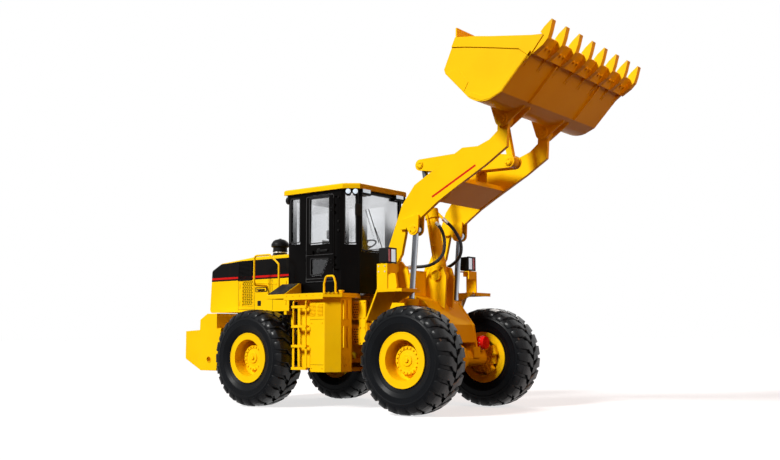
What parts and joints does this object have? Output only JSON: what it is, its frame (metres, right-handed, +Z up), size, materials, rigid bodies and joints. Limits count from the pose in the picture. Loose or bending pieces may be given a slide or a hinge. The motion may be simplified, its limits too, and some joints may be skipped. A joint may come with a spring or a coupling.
{
  "type": "wheel loader",
  "caption": "Articulated wheel loader with a hinged chassis, twin lift arms, Z-bar bucket linkage, enclosed cab and large pneumatic tyres.",
  "frame": {"origin": "On the ground, under the middle of the machine's length and width, arms raised and bucket rolled back.", "axes": "+X forward along the machine, +Y to its left, +Z up."},
  "size_m": [7.4798, 2.9, 5.4371],
  "materials": {
    "black_steel": "matt black",
    "cab_black": "satin black",
    "cab_glass": "tinted safety glass",
    "chamber_red": "red enamel",
    "chrome_rod": "hard chrome",
    "engine_iron": "painted iron",
    "hose_rubber": "black hose",
    "lamp_black": "black moulded lamp",
    "pin_steel": "ground steel",
    "seat_fabric": "dark woven fabric",
    "tooth_yellow": "yellow enamel",
    "tyre": "black tyre rubber",
    "yellow_paint": "gloss yellow enamel"
  },
  "bodies": {
    "rear_frame": {"air_cleaner": "black_steel", "cab_frame": "cab_black", "cab_glass": "cab_glass", "cab_roof": "yellow_paint", "counterweight": "yellow_paint", "decks": "yellow_paint", "engine_block": "engine_iron", "filler_cap": "yellow_paint", "grab_rails": "cab_black", "handrails": "yellow_paint", "hood": "yellow_paint", "ladders": "yellow_paint", "rear_axle": "yellow_paint", "rear_frame": "yellow_paint", "seat": "seat_fabric", "side_tanks": "yellow_paint", "steering_column": "cab_black", "steering_pins": "pin_steel", "work_lamps": "lamp_black"},
    "front_frame": {"front_frame": "yellow_paint", "front_fenders": "yellow_paint", "headlights": "lamp_black", "front_axle": "yellow_paint", "brake_chambers": "chamber_red", "tilt_hoses": "hose_rubber"},
    "arm": {"arm": "yellow_paint"},
    "rocker_pin": {"rocker_pin": "pin_steel"},
    "rocker": {"rocker": "yellow_paint"},
    "link_pin": {"link_pin": "pin_steel"},
    "link": {"link": "yellow_paint"},
    "bucket_pins": {"bucket_pins": "pin_steel"},
    "bucket": {"bucket": "yellow_paint", "bucket_teeth": "tooth_yellow"},
    "lift_barrels": {"lift_barrels": "yellow_paint"},
    "lift_rods": {"lift_rods": "chrome_rod"},
    "tilt_barrel": {"tilt_barrel": "yellow_paint"},
    "tilt_rod": {"tilt_rod": "chrome_rod"},
    "door_left": {"door_left": "cab_black", "door_glass_left": "cab_glass"},
    "door_right": {"door_right": "cab_black", "door_glass_right": "cab_glass"},
    "wheel_front_left": {"rim_front_left": "yellow_paint", "tyre_front_left": "tyre"},
    "wheel_front_right": {"rim_front_right": "yellow_paint", "tyre_front_right": "tyre"},
    "wheel_rear_left": {"rim_rear_left": "yellow_paint", "tyre_rear_left": "tyre"},
    "wheel_rear_right": {"rim_rear_right": "yellow_paint", "tyre_rear_right": "tyre"}
  },
  "joints": [
    {"name": "steering", "type": "hinge", "parent": "rear_frame", "child": "front_frame", "pos_m": [-0.4099, 0, 1], "axis": [0, 0, 1], "range_deg": [-35, 35]},
    {"name": "wheel_front_left_spin", "type": "hinge", "parent": "front_frame", "child": "wheel_front_left", "pos_m": [1.1651, 1.09, 0.79], "axis": [0, 1, 0], "continuous": true},
    {"name": "wheel_front_right_spin", "type": "hinge", "parent": "front_frame", "child": "wheel_front_right", "pos_m": [1.1651, -1.09, 0.79], "axis": [0, 1, 0], "continuous": true},
    {"name": "wheel_rear_left_spin", "type": "hinge", "parent": "rear_frame", "child": "wheel_rear_left", "pos_m": [-1.9849, 1.09, 0.79], "axis": [0, 1, 0], "continuous": true},
    {"name": "wheel_rear_right_spin", "type": "hinge", "parent": "rear_frame", "child": "wheel_rear_right", "pos_m": [-1.9849, -1.09, 0.79], "axis": [0, 1, 0], "continuous": true},
    {"name": "lift", "type": "hinge", "parent": "front_frame", "child": "arm", "pos_m": [0.4201, 0, 2.19], "axis": [0, 1, 0], "range_deg": [0, 84]},
    {"name": "bucket_pins_turn", "type": "hinge", "parent": "arm", "child": "bucket_pins", "pos_m": [2.5001, 0, 4.23], "axis": [0, 1, 0], "range_deg": [-61.2, 3.4]},
    {"name": "bucket_tilt", "type": "hinge", "parent": "bucket_pins", "child": "bucket", "pos_m": [2.5001, 0, 4.23], "axis": [0, 1, 0], "range_deg": [0, 92]},
    {"name": "rocker_pin_turn", "type": "hinge", "parent": "arm", "child": "rocker_pin", "pos_m": [1.6001, 0, 3.795], "axis": [0, 1, 0], "range_deg": [-3.4, 45.42]},
    {"name": "rocker_turn", "type": "hinge", "parent": "rocker_pin", "child": "rocker", "pos_m": [1.6001, 0, 3.795], "axis": [0, 1, 0], "range_deg": [-37.21, 3.4]},
    {"name": "link_pin_turn", "type": "hinge", "parent": "bucket", "child": "link_pin", "pos_m": [2.1301, 0, 4.45], "axis": [0, 1, 0], "range_deg": [-3.4, 76.99]},
    {"name": "link_turn", "type": "hinge", "parent": "link_pin", "child": "link", "pos_m": [2.1301, 0, 4.45], "axis": [0, 1, 0], "range_deg": [-36.78, 3.4]},
    {"name": "tilt_barrel_swing", "type": "hinge", "parent": "front_frame", "child": "tilt_barrel", "pos_m": [0.9501, 0, 2.07], "axis": [0, 1, 0], "range_deg": [-0.5, 104.99], "deforming": ["tilt_hoses"]},
    {"name": "tilt_rod_slide", "type": "slide", "parent": "tilt_barrel", "child": "tilt_rod", "axis": [-0.1764, 0, 0.9843], "range_m": [-0.567, 0.003]},
    {"name": "lift_barrels_swing", "type": "hinge", "parent": "front_frame", "child": "lift_barrels", "pos_m": [0.7101, 0, 0.54], "axis": [0, 1, 0], "range_deg": [-0.5, 10.25]},
    {"name": "lift_rods_slide", "type": "slide", "parent": "lift_barrels", "child": "lift_rods", "axis": [0.0855, 0, 0.9963], "range_m": [-0.953, 0.003]},
    {"name": "door_left_swing", "type": "hinge", "parent": "rear_frame", "child": "door_left", "pos_m": [-0.6449, 0.768, 2.6], "axis": [0, 0, 1], "range_deg": [-80, 0]},
    {"name": "door_right_swing", "type": "hinge", "parent": "rear_frame", "child": "door_right", "pos_m": [-0.6449, -0.768, 2.6], "axis": [0, 0, 1], "range_deg": [0, 80]}
  ],
  "couplings": [
    {"joint": "bucket_pins_turn", "follows": "lift", "ratio": -0.6881},
    {"joint": "rocker_pin_turn", "follows": "lift", "ratio": 0.50024},
    {"joint": "rocker_turn", "follows": "bucket_tilt", "ratio": -0.3675},
    {"joint": "link_pin_turn", "follows": "lift", "ratio": 0.87607},
    {"joint": "link_turn", "follows": "bucket_tilt", "ratio": -0.36283},
    {"joint": "tilt_barrel_swing", "follows": "lift", "ratio": 1.2439},
    {"joint": "tilt_rod_slide", "follows": "bucket_tilt", "m_per_rad": -0.35125},
    {"joint": "lift_barrels_swing", "follows": "lift", "ratio": 0.11609},
    {"joint": "lift_rods_slide", "follows": "lift", "m_per_rad": -0.64801}
  ]
}
